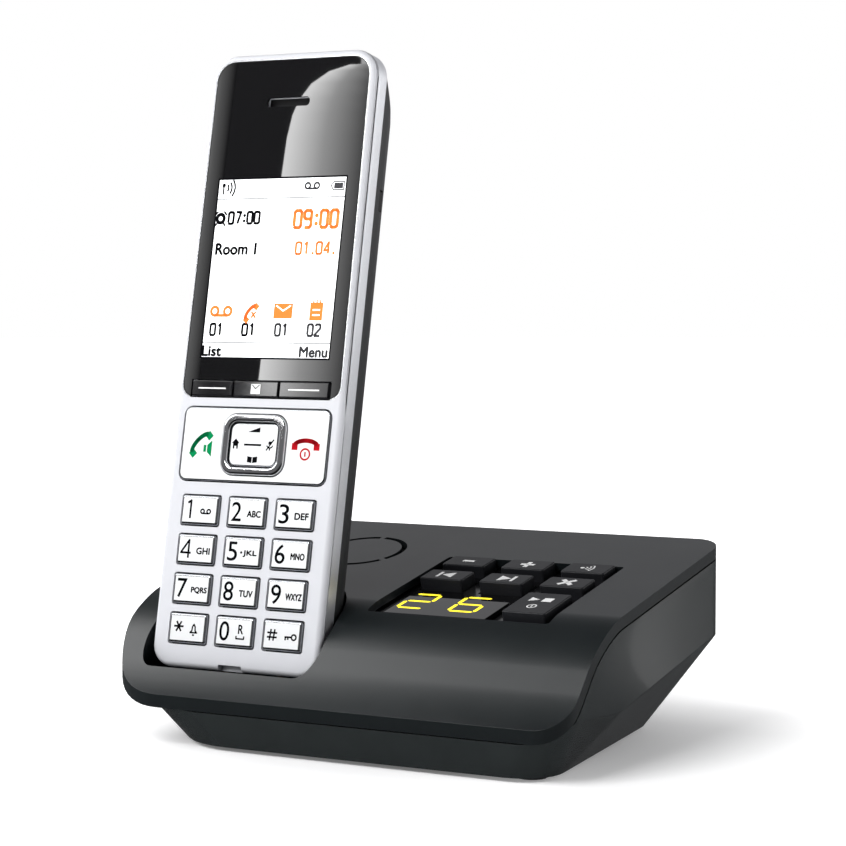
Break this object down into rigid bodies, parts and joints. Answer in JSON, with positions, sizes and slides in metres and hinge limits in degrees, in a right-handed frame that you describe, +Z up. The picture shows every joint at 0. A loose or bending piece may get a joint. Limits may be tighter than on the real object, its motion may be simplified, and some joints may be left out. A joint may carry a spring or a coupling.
{
  "type": "cordless phone with base",
  "caption": "Cordless telephone handset standing in a charging base with built-in answering machine, sprung keys and lit display.",
  "frame": {"origin": "bottom centre of the base's bounding box, on the surface that it stands on", "axes": "+X to the right along the base's width, +Y from its front to its rear, +Z up"},
  "size_m": [0.1328, 0.0926, 0.1736],
  "materials": {
    "lower_housing": "piano-black gloss, charcoal",
    "upper_housing": "fine satin, anthracite",
    "keypad_tray": "gloss black",
    "display_window": "gloss black with amber seven-segment digits",
    "base_keys": "satin black with white symbols",
    "circuit_board": "green solder mask",
    "electronics": "dull black",
    "socket_black": "dull black",
    "rubber_feet": "matt",
    "screw_steel": "zinc plated",
    "contact_metal": "gold plated",
    "silver_lacquer": "satin silver lacquer",
    "side_band": "fine bright silver lacquer",
    "handset_keys": "satin silver lacquer with printed symbols",
    "soft_keys": "gloss black with white symbols",
    "chrome_ring": "bright chrome plate",
    "display_lens": "piano-black gloss with a clear window",
    "screen": "lit white screen",
    "handset_back": "satin black",
    "key_mat": "matt grey silicone",
    "battery_cell": "printed sleeve, nickel-plated ends"
  },
  "bodies": {
    "base": {"base_bottom_shell": "lower_housing", "base_top_shell": "upper_housing", "keypad_tray": "keypad_tray", "display_window": "display_window", "display_module": "electronics", "base_circuit_board": "circuit_board", "loudspeaker": "electronics", "foot_front_left": "rubber_feet", "foot_front_right": "rubber_feet", "foot_rear_right": "rubber_feet", "foot_rear_left": "rubber_feet", "housing_screw_left": "screw_steel", "housing_screw_right": "screw_steel", "line_socket": "socket_black", "power_socket": "socket_black"},
    "handset": {"handset_front_cover": "silver_lacquer", "display_lens": "display_lens", "lcd_module": "screen", "handset_side_band": "side_band", "handset_rear_shell": "handset_back", "battery_left": "battery_cell", "battery_right": "battery_cell", "earpiece": "electronics", "microphone": "electronics", "ringer": "electronics", "handset_circuit_board": "circuit_board", "key_mat": "key_mat", "charging_pad_left": "contact_metal", "charging_pad_right": "contact_metal", "headset_socket": "socket_black"},
    "key_star": {"key_star": "handset_keys"},
    "key_0": {"key_0": "handset_keys"},
    "key_hash": {"key_hash": "handset_keys"},
    "key_7": {"key_7": "handset_keys"},
    "key_8": {"key_8": "handset_keys"},
    "key_9": {"key_9": "handset_keys"},
    "key_4": {"key_4": "handset_keys"},
    "key_5": {"key_5": "handset_keys"},
    "key_6": {"key_6": "handset_keys"},
    "key_1": {"key_1": "handset_keys"},
    "key_2": {"key_2": "handset_keys"},
    "key_3": {"key_3": "handset_keys"},
    "soft_key_left": {"soft_key_left": "soft_keys"},
    "soft_key_message": {"soft_key_message": "soft_keys"},
    "soft_key_right": {"soft_key_right": "soft_keys"},
    "key_volume_down": {"key_volume_down": "base_keys"},
    "key_volume_up": {"key_volume_up": "base_keys"},
    "key_paging": {"key_paging": "base_keys"},
    "key_previous": {"key_previous": "base_keys"},
    "key_next": {"key_next": "base_keys"},
    "key_delete": {"key_delete": "base_keys"},
    "key_play_stop": {"key_play_stop": "base_keys"},
    "call_plate": {"call_plate": "handset_keys"},
    "navigation_ring": {"navigation_ring": "chrome_ring"},
    "navigation_pad": {"navigation_pad": "handset_keys"},
    "battery_cover": {"battery_cover": "handset_back"},
    "charging_contact_left": {"charging_contact_left": "contact_metal"},
    "charging_contact_right": {"charging_contact_right": "contact_metal"}
  },
  "joints": [
    {"name": "handset_lift", "type": "slide", "parent": "base", "child": "handset", "axis": [0, 0.1881, 0.9822], "range_m": [0, 0.06]},
    {"name": "press_key_star", "type": "slide", "parent": "handset", "child": "key_star", "axis": [0, 0.9822, -0.1881], "range_m": [0, 0.0006], "stiffness_N_per_m": 200},
    {"name": "press_key_0", "type": "slide", "parent": "handset", "child": "key_0", "axis": [0, 0.9822, -0.1881], "range_m": [0, 0.0006], "stiffness_N_per_m": 200},
    {"name": "press_key_hash", "type": "slide", "parent": "handset", "child": "key_hash", "axis": [0, 0.9822, -0.1881], "range_m": [0, 0.0006], "stiffness_N_per_m": 200},
    {"name": "press_key_7", "type": "slide", "parent": "handset", "child": "key_7", "axis": [0, 0.9822, -0.1881], "range_m": [0, 0.0006], "stiffness_N_per_m": 200},
    {"name": "press_key_8", "type": "slide", "parent": "handset", "child": "key_8", "axis": [0, 0.9822, -0.1881], "range_m": [0, 0.0006], "stiffness_N_per_m": 200},
    {"name": "press_key_9", "type": "slide", "parent": "handset", "child": "key_9", "axis": [0, 0.9822, -0.1881], "range_m": [0, 0.0006], "stiffness_N_per_m": 200},
    {"name": "press_key_4", "type": "slide", "parent": "handset", "child": "key_4", "axis": [0, 0.9822, -0.1881], "range_m": [0, 0.0006], "stiffness_N_per_m": 200},
    {"name": "press_key_5", "type": "slide", "parent": "handset", "child": "key_5", "axis": [0, 0.9822, -0.1881], "range_m": [0, 0.0006], "stiffness_N_per_m": 200},
    {"name": "press_key_6", "type": "slide", "parent": "handset", "child": "key_6", "axis": [0, 0.9822, -0.1881], "range_m": [0, 0.0006], "stiffness_N_per_m": 200},
    {"name": "press_key_1", "type": "slide", "parent": "handset", "child": "key_1", "axis": [0, 0.9822, -0.1881], "range_m": [0, 0.0006], "stiffness_N_per_m": 200},
    {"name": "press_key_2", "type": "slide", "parent": "handset", "child": "key_2", "axis": [0, 0.9822, -0.1881], "range_m": [0, 0.0006], "stiffness_N_per_m": 200},
    {"name": "press_key_3", "type": "slide", "parent": "handset", "child": "key_3", "axis": [0, 0.9822, -0.1881], "range_m": [0, 0.0006], "stiffness_N_per_m": 200},
    {"name": "press_soft_key_left", "type": "slide", "parent": "handset", "child": "soft_key_left", "axis": [0, 0.9822, -0.1881], "range_m": [0, 0.0005], "stiffness_N_per_m": 200},
    {"name": "press_soft_key_message", "type": "slide", "parent": "handset", "child": "soft_key_message", "axis": [0, 0.9822, -0.1881], "range_m": [0, 0.0005], "stiffness_N_per_m": 200},
    {"name": "press_soft_key_right", "type": "slide", "parent": "handset", "child": "soft_key_right", "axis": [0, 0.9822, -0.1881], "range_m": [0, 0.0005], "stiffness_N_per_m": 200},
    {"name": "press_key_volume_down", "type": "slide", "parent": "base", "child": "key_volume_down", "axis": [0, 0.2069, -0.9784], "range_m": [0, 0.0008], "stiffness_N_per_m": 200},
    {"name": "press_key_volume_up", "type": "slide", "parent": "base", "child": "key_volume_up", "axis": [0, 0.2069, -0.9784], "range_m": [0, 0.0008], "stiffness_N_per_m": 200},
    {"name": "press_key_paging", "type": "slide", "parent": "base", "child": "key_paging", "axis": [0, 0.2069, -0.9784], "range_m": [0, 0.0008], "stiffness_N_per_m": 200},
    {"name": "press_key_previous", "type": "slide", "parent": "base", "child": "key_previous", "axis": [0, 0.2069, -0.9784], "range_m": [0, 0.0008], "stiffness_N_per_m": 200},
    {"name": "press_key_next", "type": "slide", "parent": "base", "child": "key_next", "axis": [0, 0.2069, -0.9784], "range_m": [0, 0.0008], "stiffness_N_per_m": 200},
    {"name": "press_key_delete", "type": "slide", "parent": "base", "child": "key_delete", "axis": [0, 0.2069, -0.9784], "range_m": [0, 0.0008], "stiffness_N_per_m": 200},
    {"name": "press_key_play_stop", "type": "slide", "parent": "base", "child": "key_play_stop", "axis": [0, 0.2069, -0.9784], "range_m": [0, 0.0008], "stiffness_N_per_m": 200},
    {"name": "call_plate_rock", "type": "hinge", "parent": "handset", "child": "call_plate", "pos_m": [-0.0321, -0.02221, 0.07382], "axis": [0, 0.1881, 0.9822], "range_deg": [-1.5, 1.5], "stiffness_Nm_per_rad": 0.06},
    {"name": "navigation_up_down", "type": "hinge", "parent": "handset", "child": "navigation_ring", "pos_m": [-0.0321, -0.02221, 0.07382], "axis": [1, 0, 0], "range_deg": [-3, 3], "stiffness_Nm_per_rad": 0.02},
    {"name": "navigation_left_right", "type": "hinge", "parent": "navigation_ring", "child": "navigation_pad", "pos_m": [-0.0321, -0.02221, 0.07382], "axis": [0, 0.1881, 0.9822], "range_deg": [-3, 3], "stiffness_Nm_per_rad": 0.02},
    {"name": "battery_cover_release", "type": "slide", "parent": "handset", "child": "battery_cover", "axis": [0, 0.9822, -0.1881], "range_m": [0, 0.012]},
    {"name": "press_charging_contact_left", "type": "slide", "parent": "base", "child": "charging_contact_left", "axis": [0, -0.1881, -0.9822], "range_m": [0, 0.0008], "stiffness_N_per_m": 200},
    {"name": "press_charging_contact_right", "type": "slide", "parent": "base", "child": "charging_contact_right", "axis": [0, -0.1881, -0.9822], "range_m": [0, 0.0008], "stiffness_N_per_m": 200}
  ]
}
